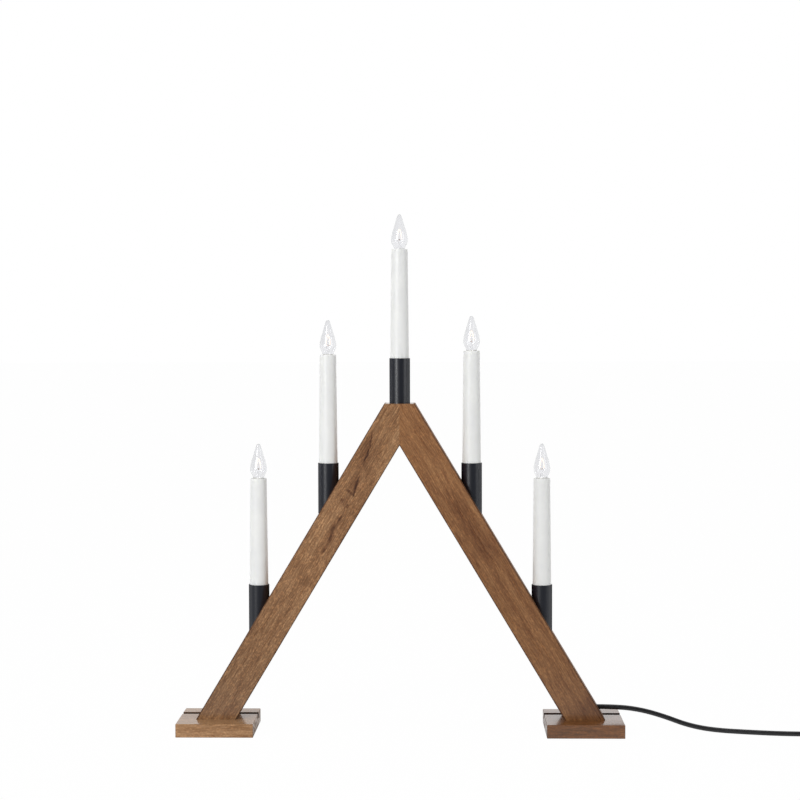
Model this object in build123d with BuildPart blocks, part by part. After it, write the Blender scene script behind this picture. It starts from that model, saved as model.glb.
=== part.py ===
"""Electric candle arch: two leaning wooden legs on square feet, with five candles whose bulbs unscrew."""

import os
from math import cos, dist, pi, radians, sin, sqrt, tan

from build123d import *

os.makedirs("parts", exist_ok=True)

# Frame: X along the arch, Y from front to back, Z up from the surface it stands on. Millimetres.

# Shared clearances
cut_overrun = 1.0
slide_clearance = 0.1
seat_clearance = 0.15

# Legs
leg_width = 34.0
leg_depth = 32.5
leg_slope = 59.08
apex_height = 325.3
apex_flat = 30.1
leg_edge_radius = 0.8

# Feet, each with a groove along its top that the leg's tongue drops into and that runs on behind the leg
foot_length = 76.0
foot_depth = 76.0
foot_thickness = 13.35
foot_inset = 0.7
foot_edge_radius = 0.6
groove_width = 8.6
groove_depth = 5.0
groove_overhang = 2.6

# Apex dowels
dowel_diameter = 6.0
dowel_length = 28.0
dowel_pitch = 10.0
dowel_rise = 7.0
dowel_setback = 9.0

# Foot screws
screw_diameter = 4.0
screw_length = 35.0
screw_head_diameter = 8.0
screw_head_sink = 0.4
screw_slot_width = 1.1
screw_slot_depth = 1.2
screw_corner_inset = 19.0
screw_pitch = 14.0
screw_setback = 9.5

# Wire channel in the back of each leg, and its cover
channel_inset = 25.0
channel_width = 8.0
channel_floor_front = 3.0
channel_end_drop = 4.0
cover_width = 13.0
cover_thickness = 3.0
cover_end_margin = 1.5
wire_hole_diameter = 6.0

# Candle axes, as shares of the way from the middle to the foot of the leg's outer face
upper_axis_share = 0.35117
lower_axis_share = 0.69491

# Cups
cup_diameter = 20.4
cup_wall = 0.9
cup_floor = 1.5
cup_length = 50.0
cup_rim_radius = 0.3
cup_rise_top = 44.5
cup_rise_upper = 34.3
cup_rise_lower = 29.4

# Candle tubes: straight inside the cup, tapered above its rim, and pushed in to slightly different depths
tube_foot_diameter = 18.4
tube_top_diameter = 16.2
tube_wall = 1.2
tube_length = 150.0
tube_lip_thickness = 1.4
tube_lip_width = 1.9
tube_seat_top = 42.8
tube_seat_left_upper = 43.1
tube_seat_right_upper = 39.4
tube_seat_lower = 44.6

# Lamp holders
holder_diameter = 13.2
holder_length = 22.5
holder_cavity_depth = 14.8
shell_wall = 0.45
shell_lead_in = 2.4
contact_diameter = 4.0

# Screw bulbs, with a right-hand thread
thread_pitch = 1.814
thread_height = 0.5
thread_root_width = 1.1
thread_crest_width = 0.5
thread_gap = 0.15
shell_thread_root_width = 0.65
shell_thread_crest_width = 0.25
shell_thread_turns = 2.3
base_core_diameter = 8.4
base_wall = 0.55
base_thread_turns = 4.0
base_collar_diameter = 9.4
base_collar_height = 1.0
base_length = 11.4
base_drop = 2.2
insulator_diameter = 5.0
insulator_height = 1.4
tip_diameter = 3.0
tip_show = 1.0
tip_edge_radius = 0.6
bulb_diameter = 16.4
bulb_height = 34.2
bulb_neck_diameter = 8.8
bulb_spigot_length = 2.2
glass_wall = 0.6
# Outline of the glass above its neck: shares of its height, each with a share of its radius
bulb_height_shares = (0.045, 0.243, 0.480, 0.623, 0.769, 0.895)
bulb_radius_shares = (0.683, 1.000, 0.861, 0.659, 0.480, 0.349)

# Filament and its mount inside the glass: it rises from two leads to a hooked support
stem_diameter = 5.0
stem_length = 14.0
lead_diameter = 0.5
lead_foot_spread = 2.6
lead_top_spread = 4.4
lead_height = 10.0
support_diameter = 0.4
filament_diameter = 0.8
filament_rise = 9.4

# Wires inside the arch
wire_diameter = 1.6
wire_offset = 1.5
wire_bend = 2.0
splice_diameter = 3.0
splice_length = 10.0
splice_setback = 12.3

# Mains cord where it passes through the right leg
cord_diameter = 4.8
cord_tail_bend = 8.0
cord_tail_reach = 14.5
core_overlap = 3.0
bush_wall = 1.0
bush_length = 19.0
clamp_length = 10.0
clamp_depth = 10.0
clamp_reach = 9.5
clamp_screw_diameter = 3.0

# Route of the cord where it isn't coiled, from the joint inside the leg's hole to the coil: distance out
# from the joint, then Y and height
cord_joint_inset = 2.637
cord_steps = [
    (0.0, 0.0, 23.8),
    (23.0, 0.0, 23.8),
    (47.0, -0.5, 20.6),
    (69.0, -2.0, 14.4),
    (91.0, -5.0, 6.6),
    (115.0, -9.5, 2.8),
    (149.0, -18.0, 2.5),
    (187.0, -26.0, 2.7),
    (221.0, -28.5, 3.3),
    (247.0, -28.5, 3.3),
]
arc_share = 0.45

# Coil of the put-away cord: it spirals in on one layer and out on the next
coil_turns = 9
coil_outer_radius = 38.5
coil_turn_pitch = 5.4
coil_lead_in = 5.0
coil_lead_out = 30.0
coil_steps_per_turn = 4
coil_samples = 700

# Tie round the coil
tie_width = 4.0
tie_thickness = 0.6
tie_clearance = 0.25

# Two-pin plug
plug_length = 34.0
plug_front_width = 35.0
plug_rear_width = 14.0
plug_shoulder_share = 0.45
plug_edge_radius = 2.5
sleeve_tip_diameter = 6.2
sleeve_root_diameter = 9.4
sleeve_length = 22.0
pin_diameter = 4.0
pin_root_diameter = 3.2
pin_length = 19.0
pin_anchor = 9.0
pin_spacing = 18.6
pin_tip_chamfer = 0.8

# Worked out from the sizes above
slope_tan = tan(radians(leg_slope))
slope_cos = cos(radians(leg_slope))
slope_sin = sin(radians(leg_slope))
outer_apex = apex_height + apex_flat / 2 * slope_tan
leg_back = leg_depth / 2
wire_radius = wire_diameter / 2
cord_radius = cord_diameter / 2
cord_height = cord_steps[0][2]
bore_radius = cup_diameter / 2 + slide_clearance
fit_clearance = slide_clearance / 2
lane_outer = channel_inset - wire_offset
lane_inner = channel_inset + wire_offset


def leg_z(x, inset):
    """Height, at a distance x from the middle, of the line along a leg inset from its outer face."""
    return outer_apex - inset / slope_cos - x * slope_tan


def leg_x(z, inset):
    """Distance from the middle, at height z, of the line along a leg inset from its outer face."""
    return (outer_apex - inset / slope_cos - z) / slope_tan


def keep(part, label):
    """Names a finished piece and writes its file."""
    part.label = label
    export_step(part, f"parts/{label}.step")


leg_corner_x = leg_x(foot_thickness, 0)
cord_joint_x = leg_x(cord_height, 0) - cord_joint_inset
cord_route = [(cord_joint_x + x, y, z) for x, y, z in cord_steps]

# Name, axis along X, height of the cup's rim, and how much of the tube shows above it
upper_axis_x = upper_axis_share * leg_corner_x
lower_axis_x = lower_axis_share * leg_corner_x
upper_rim = leg_z(upper_axis_x, 0) + cup_rise_upper
lower_rim = leg_z(lower_axis_x, 0) + cup_rise_lower
candles = [
    ("top", 0, apex_height + cup_rise_top, tube_length - tube_seat_top),
    ("left_upper", -upper_axis_x, upper_rim, tube_length - tube_seat_left_upper),
    ("right_upper", upper_axis_x, upper_rim, tube_length - tube_seat_right_upper),
    ("left_lower", -lower_axis_x, lower_rim, tube_length - tube_seat_lower),
    ("right_lower", lower_axis_x, lower_rim, tube_length - tube_seat_lower),
]
tube_tops = {name: (x, 0, rim + show) for name, x, rim, show in candles}

# Legs: mitred at the apex, with a tongue at the back of the foot
leg_outline = [
    (0, leg_z(0, leg_width)),
    (0, apex_height),
    (apex_flat / 2, apex_height),
    (leg_corner_x, foot_thickness),
    (leg_x(foot_thickness, leg_width), foot_thickness),
]
leg_end_length = leg_corner_x - leg_x(foot_thickness, leg_width)
leg_end_x = leg_corner_x - leg_end_length / 2
foot_x = leg_end_x - foot_inset
screw_places_x = [leg_corner_x - screw_corner_inset, leg_corner_x - screw_corner_inset - screw_pitch]
dowel_places = [(-dowel_setback, leg_z(0, leg_width) + dowel_rise + n * dowel_pitch) for n in range(2)]
channel_end_z = cord_height - channel_end_drop
cover_end_z = channel_end_z - cover_end_margin


def strip(side, width, end_z):
    """Corners of a strip along the channel, from the mitre down to a square end whose middle is at end_z."""
    end_x = leg_x(end_z, channel_inset)
    half = width / 2
    corners = [
        (0, leg_z(0, channel_inset - half)),
        (end_x + half * slope_sin, end_z + half * slope_cos),
        (end_x - half * slope_sin, end_z - half * slope_cos),
        (0, leg_z(0, channel_inset + half)),
    ]
    return [(side * x, z) for x, z in corners]


for side, side_name in ((-1, "left"), (1, "right")):
    with BuildPart() as leg:
        with BuildSketch(Plane.XZ):
            with BuildLine():
                Polyline([(side * x, z) for x, z in leg_outline], close=True)
            make_face()
        extrude(amount=leg_back, both=True)
        fillet(leg.edges().filter_by(Axis((0, 0, 0), (side * slope_cos, 0, -slope_sin))), leg_edge_radius)
        with Locations((side * leg_end_x, leg_back, foot_thickness)):
            Box(
                leg_end_length,
                groove_width - groove_overhang - slide_clearance,
                groove_depth - slide_clearance,
                align=(Align.CENTER, Align.MAX, Align.MAX),
            )
        # Bores for the cups, and holes that take their wires to the channel
        for name, x, rim, show in candles:
            if x * side >= 0:
                bore_floor = rim - cup_length
                channel_z = leg_z(abs(x), channel_inset)
                with BuildSketch(Plane.XY.offset(bore_floor)):
                    with Locations((x, 0)):
                        Circle(bore_radius)
                extrude(amount=cup_length, mode=Mode.SUBTRACT)
                with BuildSketch(Plane.XY.offset(channel_z)):
                    with Locations((x, 0)):
                        Circle(wire_hole_diameter / 2)
                extrude(amount=bore_floor - channel_z + cut_overrun, mode=Mode.SUBTRACT)
        # Channel for the wires, and the rebate for its cover
        with BuildSketch(Plane.XZ.offset(-leg_back)):
            with BuildLine():
                Polyline(strip(side, channel_width, channel_end_z), close=True)
            make_face()
        extrude(amount=leg_back + channel_floor_front, mode=Mode.SUBTRACT)
        with BuildSketch(Plane.XZ.offset(-leg_back)):
            with BuildLine():
                Polyline(strip(side, cover_width, cover_end_z), close=True)
            make_face()
        extrude(amount=cover_thickness, mode=Mode.SUBTRACT)
        # Holes for the dowels across the mitre and for the foot screws
        with BuildSketch(Plane.YZ):
            with Locations(*dowel_places):
                Circle(dowel_diameter / 2 + fit_clearance)
        extrude(amount=side * (dowel_length / 2 + slide_clearance), mode=Mode.SUBTRACT)
        with BuildSketch(Plane.XY.offset(foot_thickness)):
            with Locations(*[(side * x, -screw_setback) for x in screw_places_x]):
                Circle(screw_diameter / 2 + fit_clearance)
        extrude(amount=screw_length - foot_thickness + cut_overrun, mode=Mode.SUBTRACT)
        # The cord comes in through the outer face of the right leg
        if side > 0:
            with BuildSketch(Plane.YZ.offset(leg_x(cord_height, channel_inset))):
                with Locations((0, cord_height)):
                    Circle(cord_radius + bush_wall + slide_clearance)
            extrude(amount=leg_width / slope_sin, mode=Mode.SUBTRACT)
    keep(leg.part, f"{side_name}_leg")

    with BuildPart() as cover:
        cover_outline = strip(side, cover_width - 2 * slide_clearance, cover_end_z + slide_clearance)
        with BuildSketch(Plane.XZ.offset(-leg_back)):
            with BuildLine():
                Polyline(cover_outline, close=True)
            make_face()
        extrude(amount=cover_thickness)
    keep(cover.part, f"{side_name}_back_cover")

    with BuildPart() as foot:
        with BuildSketch(Plane.XY):
            with Locations((side * foot_x, 0)):
                Rectangle(foot_length, foot_depth)
        extrude(amount=foot_thickness)
        fillet(foot.edges(), foot_edge_radius)
        with BuildSketch(Plane.XY.offset(foot_thickness)):
            with Locations((side * foot_x, leg_back + groove_overhang - groove_width / 2)):
                Rectangle(foot_length, groove_width)
        extrude(amount=-groove_depth, mode=Mode.SUBTRACT)
        with Locations(*[Location((side * x, -screw_setback, 0), (180, 0, 0)) for x in screw_places_x]):
            CounterSinkHole(
                screw_diameter / 2 + fit_clearance,
                screw_head_diameter / 2 + screw_head_sink + fit_clearance,
                depth=foot_thickness,
            )
    keep(foot.part, f"{side_name}_foot")

# Dowels across the mitre
with BuildPart() as apex_dowels:
    with BuildSketch(Plane.YZ):
        with Locations(*dowel_places):
            Circle(dowel_diameter / 2)
    extrude(amount=dowel_length / 2, both=True)
keep(apex_dowels.part, "apex_dowels")

# Slotted countersunk screws, up through the feet into the legs
with BuildPart() as screw:
    with BuildSketch(Plane.XZ):
        with BuildLine():
            Polyline(
                (0, 0),
                (screw_head_diameter / 2, 0),
                (screw_diameter / 2, (screw_head_diameter - screw_diameter) / 2),
                (screw_diameter / 2, screw_length - screw_diameter),
                (0, screw_length - screw_head_sink),
                close=True,
            )
        make_face()
    revolve(axis=Axis.Z)
    with BuildSketch(Plane.XY):
        Rectangle(screw_head_diameter, screw_slot_width)
    extrude(amount=screw_slot_depth, mode=Mode.SUBTRACT)

with BuildPart() as foot_screws:
    screw_places = [(side * x, -screw_setback, screw_head_sink) for side in (-1, 1) for x in screw_places_x]
    with Locations(*screw_places):
        add(screw.part)
keep(foot_screws.part, "foot_screws")

# Cups: one shape, sunk to different depths
with BuildPart() as cup:
    with BuildSketch(Plane.XY):
        Circle(cup_diameter / 2)
    extrude(amount=cup_length)
    with BuildSketch(Plane.XY.offset(cup_floor)):
        Circle(cup_diameter / 2 - cup_wall)
    extrude(amount=cup_length, mode=Mode.SUBTRACT)
    with BuildSketch(Plane.XY):
        Circle(wire_hole_diameter / 2)
    extrude(amount=cup_length, mode=Mode.SUBTRACT)
    fillet(cup.edges().group_by(Axis.Z)[-1], cup_rim_radius)

# Candle tubes: an inward lip at the top holds the lamp holder down
tube_lip_radius = tube_top_diameter / 2 - tube_lip_width
for name, x, rim, show in candles:
    top_z = rim + show
    foot_z = top_z - tube_length
    lip_z = top_z - tube_lip_thickness
    foot_radius = tube_foot_diameter / 2
    top_radius = tube_top_diameter / 2
    with BuildPart() as candle_tube:
        with BuildSketch(Plane.XZ):
            with BuildLine():
                Polyline(
                    (foot_radius - tube_wall, foot_z),
                    (foot_radius, foot_z),
                    (foot_radius, rim),
                    (top_radius, top_z),
                    (tube_lip_radius, top_z),
                    (tube_lip_radius, lip_z),
                    (top_radius - tube_wall, lip_z),
                    (foot_radius - tube_wall, rim),
                    close=True,
                )
            make_face()
        revolve(axis=Axis.Z)
    keep(candle_tube.part.moved(Location((x, 0, 0))), f"candle_tube_{name}")
    keep(cup.part.moved(Location((x, 0, rim - cup_length))), f"cup_{name}")

# Lamp holder and bulb: heights are measured from the top of the tube
core_radius = base_core_diameter / 2
shell_radius = core_radius + thread_height + thread_gap
shell_outer_radius = shell_radius + shell_wall
cavity_floor_z = -tube_lip_thickness - holder_cavity_depth
holder_bottom_z = -tube_lip_thickness - holder_length
base_bottom_z = -base_drop - base_length
insulator_z = base_bottom_z + insulator_height
tip_z = base_bottom_z - tip_show

with BuildPart() as lamp_holder:
    with BuildSketch(Plane.XY.offset(holder_bottom_z)):
        Circle(holder_diameter / 2)
    extrude(amount=holder_length)
    with BuildSketch(Plane.XY.offset(cavity_floor_z)):
        Circle(shell_outer_radius + fit_clearance)
    extrude(amount=holder_cavity_depth, mode=Mode.SUBTRACT)

with BuildPart() as contact:
    with BuildSketch(Plane.XY.offset(cavity_floor_z)):
        Circle(contact_diameter / 2)
    extrude(amount=tip_z - seat_clearance - cavity_floor_z)


def thread_profile(root_radius, crest_radius, root_width, crest_width):
    """Corners of a thread ridge in its own section: across from the axis, then along the axis."""
    return [
        (root_radius, -root_width / 2),
        (crest_radius, -crest_width / 2),
        (crest_radius, crest_width / 2),
        (root_radius, root_width / 2),
    ]


# Inside of the screw shell, with its thread half a pitch above the thread of the base
base_thread_z = insulator_z + thread_pitch / 2
shell_thread_z = base_thread_z + thread_pitch + thread_pitch / 2
with BuildPart() as screw_shell:
    with BuildSketch(Plane.XY.offset(cavity_floor_z)):
        Circle(shell_outer_radius)
        Circle(shell_radius, mode=Mode.SUBTRACT)
    extrude(amount=holder_cavity_depth - shell_lead_in)
    with BuildLine():
        shell_thread_length = shell_thread_turns * thread_pitch
        shell_helix = Helix(thread_pitch, shell_thread_length, shell_radius, center=(0, 0, shell_thread_z))
    with BuildSketch(Plane.XZ):
        with BuildLine():
            shell_ridge = thread_profile(
                shell_radius + shell_wall / 2,
                shell_radius - thread_height,
                shell_thread_root_width,
                shell_thread_crest_width,
            )
            Polyline([(r, z + shell_thread_z) for r, z in shell_ridge], close=True)
        make_face()
    sweep(path=shell_helix, is_frenet=True)

# Base of the bulb: a hollow threaded shell closed below by the insulator
with BuildPart() as bulb_base:
    with BuildSketch(Plane.XZ):
        with BuildLine():
            Polyline(
                (tip_diameter / 2 + slide_clearance, base_bottom_z),
                (insulator_diameter / 2, base_bottom_z),
                (core_radius, insulator_z),
                (core_radius, -base_drop - base_collar_height),
                (base_collar_diameter / 2, -base_drop - base_collar_height),
                (base_collar_diameter / 2, -base_drop),
                (core_radius - base_wall, -base_drop),
                (core_radius - base_wall, insulator_z),
                (tip_diameter / 2 + slide_clearance, insulator_z),
                close=True,
            )
        make_face()
    revolve(axis=Axis.Z)
    with BuildLine():
        base_thread_length = base_thread_turns * thread_pitch
        base_helix = Helix(thread_pitch, base_thread_length, core_radius, center=(0, 0, base_thread_z))
    with BuildSketch(Plane.XZ):
        with BuildLine():
            base_ridge = thread_profile(
                core_radius - base_wall / 2,
                core_radius + thread_height,
                thread_root_width,
                thread_crest_width,
            )
            Polyline([(r, z + base_thread_z) for r, z in base_ridge], close=True)
        make_face()
    sweep(path=base_helix, is_frenet=True)

# Solder tip under the base
with BuildPart() as bulb_tip:
    with BuildSketch(Plane.XY.offset(tip_z)):
        Circle(tip_diameter / 2)
    extrude(amount=insulator_z - slide_clearance - tip_z)
    fillet(bulb_tip.edges().group_by(Axis.Z)[0], tip_edge_radius)


def glass_curve(inset, neck_radius):
    """Points of the glass outline from its neck to its tip, inset from the outer surface."""
    shares = zip(bulb_radius_shares, bulb_height_shares)
    middle = [(r * (bulb_diameter / 2 - inset), h * (bulb_height - inset)) for r, h in shares]
    return [(neck_radius, -base_drop)] + middle + [(0, bulb_height - inset)]


# Glass: a pointed drop whose neck stands in the base
spigot_radius = core_radius - base_wall - slide_clearance
spigot_z = -base_drop - bulb_spigot_length
with BuildPart() as bulb_glass:
    with BuildSketch(Plane.XZ):
        with BuildLine():
            outer_points = glass_curve(0, bulb_neck_diameter / 2)
            inner_points = glass_curve(glass_wall, spigot_radius - glass_wall)
            Spline(*outer_points, tangents=[(0, 1), (-1, 0)])
            Spline(*inner_points, tangents=[(0, 1), (-1, 0)])
            Line(outer_points[-1], inner_points[-1])
            Polyline(
                outer_points[0],
                (spigot_radius, -base_drop),
                (spigot_radius, spigot_z),
                (spigot_radius - glass_wall, spigot_z),
                inner_points[0],
            )
        make_face()
    revolve(axis=Axis.Z)

# Filament: two leads rise from the stem, and the wire goes from one over the support to the other
stem_top_z = insulator_z + stem_length
lead_tops = [(side * lead_top_spread / 2, 0, lead_height) for side in (-1, 1)]
support_top = (0, 0, lead_height + filament_rise)
with BuildPart() as bulb_filament:
    with BuildSketch(Plane.XY.offset(insulator_z)):
        Circle(stem_diameter / 2)
    extrude(amount=stem_length)
    with BuildSketch(Plane.XY.offset(stem_top_z - lead_diameter)):
        Circle(support_diameter / 2)
    extrude(amount=support_top[2] - stem_top_z + lead_diameter)
    for side, lead_top in zip((-1, 1), lead_tops):
        with BuildLine() as lead:
            Line((side * lead_foot_spread / 2, 0, stem_top_z - lead_diameter), lead_top)
        with BuildSketch(Plane(origin=lead.line @ 0, z_dir=lead.line % 0)):
            Circle(lead_diameter / 2)
        sweep(path=lead.line)
        with BuildLine() as half_filament:
            Line(lead_top, support_top)
        with BuildSketch(Plane(origin=half_filament.line @ 0, z_dir=half_filament.line % 0)):
            Circle(filament_diameter / 2)
        sweep(path=half_filament.line)
    for joint in lead_tops + [support_top]:
        with Locations(joint):
            Sphere(filament_diameter / 2)

for name, place in tube_tops.items():
    keep(lamp_holder.part.moved(Location(place)), f"lamp_holder_{name}")
    keep(bulb_base.part.moved(Location(place)), f"bulb_base_{name}")
    keep(bulb_tip.part.moved(Location(place)), f"bulb_tip_{name}")
    keep(bulb_glass.part.moved(Location(place)), f"bulb_glass_{name}")
    keep(bulb_filament.part.moved(Location(place)), f"bulb_filament_{name}")

with BuildPart() as holder_screw_shells:
    with Locations(*tube_tops.values()):
        add(screw_shell.part)
keep(holder_screw_shells.part, "holder_screw_shells")

with BuildPart() as holder_contacts:
    with Locations(*tube_tops.values()):
        add(contact.part)
keep(holder_contacts.part, "holder_contacts")


# Wires: each drops from a lamp holder, follows the channel and rises to the next one
def drop(name, wire_side, inset):
    """Points from the underside of a lamp holder down to a lane of the channel, on one side of the axis."""
    x, y, top = tube_tops[name]
    wire_x = x + wire_side * wire_offset
    return [(wire_x, top + holder_bottom_z), (wire_x, leg_z(abs(wire_x), inset))]


def rise(name, wire_side, inset):
    """The same points in the other order."""
    return drop(name, wire_side, inset)[::-1]


splice_axis_x = lower_axis_x - splice_setback
splice_z = leg_z(splice_axis_x, lane_inner)
return_points = [(0, leg_z(0, lane_inner)), (splice_axis_x, splice_z)]
wires = {
    "wire_right_lower_to_right_upper": (
        drop("right_upper", 1, lane_outer) + rise("right_lower", -1, lane_outer)
    ),
    "wire_right_upper_to_top": drop("top", 1, lane_outer) + rise("right_upper", -1, lane_outer),
    "wire_top_to_left_upper": drop("top", -1, lane_outer) + rise("left_upper", 1, lane_outer),
    "wire_left_upper_to_left_lower": drop("left_upper", -1, lane_outer) + rise("left_lower", 1, lane_outer),
    "wire_return": drop("left_lower", -1, lane_inner) + return_points,
}
for name, points in wires.items():
    with BuildPart() as wire:
        with BuildLine(Plane.XZ) as wire_path:
            FilletPolyline(*points, radius=wire_bend)
        with BuildSketch(Plane(origin=wire_path.line @ 0, z_dir=wire_path.line % 0)):
            Circle(wire_radius)
        sweep(path=wire_path.line)
    keep(wire.part, name)

# Tail of the cord: its jacket turns up into the channel, and its two cores go on from there
jacket_corner = (leg_x(cord_height, channel_inset), cord_height)
cord_tail_end_x = jacket_corner[0] - cord_tail_reach
clamp_axis_x = jacket_corner[0] - clamp_reach
jacket_end = (cord_tail_end_x, leg_z(cord_tail_end_x, channel_inset))
core_start_x = cord_tail_end_x + core_overlap * slope_cos
outward = (wire_offset * slope_sin, wire_offset * slope_cos)
core_start = (core_start_x, leg_z(core_start_x, channel_inset))
live_points = [(core_start[0] + outward[0], core_start[1] + outward[1])] + rise("right_lower", 1, lane_outer)
with BuildPart() as cord_tail:
    with BuildLine(Plane.XZ) as jacket_path:
        FilletPolyline((cord_joint_x, cord_height), jacket_corner, jacket_end, radius=cord_tail_bend)
    with BuildSketch(Plane(origin=jacket_path.line @ 0, z_dir=jacket_path.line % 0)):
        Circle(cord_radius)
    sweep(path=jacket_path.line)
    with BuildLine(Plane.XZ) as live_path:
        FilletPolyline(*live_points, radius=wire_bend)
    with BuildSketch(Plane(origin=live_path.line @ 0, z_dir=live_path.line % 0)):
        Circle(wire_radius)
    sweep(path=live_path.line)
    with BuildLine(Plane.XZ) as neutral_path:
        Line((core_start[0] - outward[0], core_start[1] - outward[1]), (splice_axis_x, splice_z))
    with BuildSketch(Plane(origin=neutral_path.line @ 0, z_dir=neutral_path.line % 0)):
        Circle(wire_radius)
    sweep(path=neutral_path.line)
keep(cord_tail.part, "cord_tail")


def lane_plane(x, inset):
    """Plane on a line along the right leg: its X runs up the leg, its Y outwards and its Z to the back."""
    return Plane(origin=(x, 0, leg_z(x, inset)), x_dir=(-slope_cos, 0, slope_sin), z_dir=(0, 1, 0))


# Crimp sleeve that joins the neutral core to the return wire
with BuildPart(lane_plane(splice_axis_x, lane_inner)) as wire_splice:
    Cylinder(splice_diameter / 2, splice_length, rotation=(0, 90, 0))
    Cylinder(wire_radius + fit_clearance, splice_length, rotation=(0, 90, 0), mode=Mode.SUBTRACT)
keep(wire_splice.part, "wire_splice")

# Bush in the hole, and the clamp that takes the pull of the cord
with BuildPart() as cord_bush:
    with BuildSketch(Plane.YZ.offset(cord_joint_x - bush_length)):
        with Locations((0, cord_height)):
            Circle(cord_radius + bush_wall)
            Circle(cord_radius + fit_clearance, mode=Mode.SUBTRACT)
    extrude(amount=bush_length)
keep(cord_bush.part, "cord_bush")

clamp_back = clamp_depth - channel_floor_front
with BuildPart(lane_plane(clamp_axis_x, channel_inset)) as cord_clamp:
    with Locations((0, 0, -channel_floor_front)):
        Box(
            clamp_length,
            channel_width - 2 * slide_clearance,
            clamp_depth,
            align=(Align.CENTER, Align.CENTER, Align.MIN),
        )
    Cylinder(cord_radius + fit_clearance, clamp_length, rotation=(0, 90, 0), mode=Mode.SUBTRACT)
    Cylinder(
        clamp_screw_diameter / 2 + fit_clearance,
        clamp_depth,
        align=(Align.CENTER, Align.CENTER, Align.MIN),
        mode=Mode.SUBTRACT,
    )
keep(cord_clamp.part, "cord_clamp")

with BuildPart(lane_plane(clamp_axis_x, channel_inset)) as clamp_screw:
    with Locations((0, 0, cord_radius + fit_clearance)):
        Cylinder(
            clamp_screw_diameter / 2,
            clamp_back - cord_radius - fit_clearance,
            align=(Align.CENTER, Align.CENTER, Align.MIN),
        )
    with Locations((0, 0, clamp_back)):
        Box(
            clamp_screw_diameter,
            screw_slot_width,
            screw_slot_depth,
            align=(Align.CENTER, Align.CENTER, Align.MAX),
            mode=Mode.SUBTRACT,
        )
keep(clamp_screw.part, "clamp_screw")


def route_radii(points):
    """The largest arc at each inner point of a route, so that most of each run is curved."""
    radii = []
    for before, here, after in zip(points, points[1:], points[2:]):
        came = Vector(*here) - Vector(*before)
        goes = Vector(*after) - Vector(*here)
        half_turn = radians(came.get_angle(goes)) / 2
        radii.append(arc_share * min(came.length, goes.length) / tan(half_turn))
    return radii


# Free stretch of the cord, from the leg to the coil
cord_radii = route_radii(cord_route)
print("cord arc radii:", [round(radius) for radius in cord_radii])
with BuildPart() as power_cord_run:
    with BuildLine() as run_path:
        FilletPolyline(*cord_route, radius=cord_radii)
    with BuildSketch(Plane(origin=run_path.line @ 0, z_dir=run_path.line % 0)):
        Circle(cord_radius)
    sweep(path=run_path.line)
run_length = run_path.wire().length
run_share = power_cord_run.part.volume / (run_length * pi * cord_radius**2)
print("cord run: length", round(run_length, 1), "volume share", round(run_share, 4))
keep(power_cord_run.part, "power_cord_run")

# Coil: its turns run round an upright axis beside the end of the route
coil_start = Vector(*cord_route[-1])
coil_x = coil_start.X + coil_lead_in
coil_y = coil_start.Y + coil_outer_radius
layer_low_z = coil_start.Z
layer_high_z = layer_low_z + coil_turn_pitch
climb_start = coil_turns / 2 - 1 / coil_steps_per_turn
climb_end = coil_turns / 2 + 1 / coil_steps_per_turn


def coil_point(turn):
    """Place on the coil's middle line after so many turns."""
    radius = coil_outer_radius - coil_turn_pitch * min(turn, coil_turns - turn)
    climb = min(max((turn - climb_start) / (climb_end - climb_start), 0), 1)
    angle = 2 * pi * turn - pi / 2
    height = layer_low_z + climb * (layer_high_z - layer_low_z)
    return Vector(coil_x + radius * cos(angle), coil_y + radius * sin(angle), height)


def coil_tangent(turn):
    """Direction of the coil at a point, from the points a step before and after it."""
    if turn in (0, coil_turns):
        return Vector(1, 0, 0)
    step = 1 / coil_steps_per_turn
    return (coil_point(turn + step) - coil_point(turn - step)).normalized()


def biarc(start, start_way, end, end_way):
    """Two arcs that leave the start along its direction and reach the end along its own."""
    span = end - start
    ways = start_way + end_way
    a = 2 * (start_way.dot(end_way) - 1)
    b = -2 * span.dot(ways)
    c = span.dot(span)
    reach = (-b - sqrt(b * b - 4 * a * c)) / (2 * a)
    middle = (start + start_way * reach + end - end_way * reach) * 0.5
    middle_way = (end - end_way * reach - start - start_way * reach).normalized()
    TangentArc(start, middle, tangent=start_way)
    TangentArc(middle, end, tangent=middle_way)


coil_steps = coil_turns * coil_steps_per_turn
with BuildPart() as power_cord_coil:
    with BuildLine() as coil_path:
        Line(coil_start, coil_point(0))
        for step in range(coil_steps):
            turn = step / coil_steps_per_turn
            next_turn = (step + 1) / coil_steps_per_turn
            biarc(coil_point(turn), coil_tangent(turn), coil_point(next_turn), coil_tangent(next_turn))
        Line(coil_point(coil_turns), coil_point(coil_turns) + Vector(coil_lead_out, 0, 0))
    with BuildSketch(Plane(origin=coil_start, z_dir=(1, 0, 0))):
        Circle(cord_radius)
    sweep(path=coil_path.line)
keep(power_cord_coil.part, "power_cord_coil")

# Least gap between one turn of the coil and another, over points that lie well apart along the cord
coil_wire = coil_path.wire()
coil_length = coil_wire.length
samples = [tuple(coil_wire @ (n / coil_samples)) for n in range(coil_samples + 1)]
apart = int(coil_samples * pi * cord_diameter / coil_length)
pairs = [(i, j) for i in range(coil_samples) for j in range(i + apart, coil_samples + 1)]
least = min(dist(samples[i], samples[j]) for i, j in pairs)
print("coil: length", round(coil_length, 1), "least gap", round(least - cord_diameter, 2))
coil_share = power_cord_coil.part.volume / (coil_length * pi * cord_radius**2)
print("coil: volume share", round(coil_share, 4))
print("whole cord:", round(run_length + coil_length + jacket_path.wire().length, 1))

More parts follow.
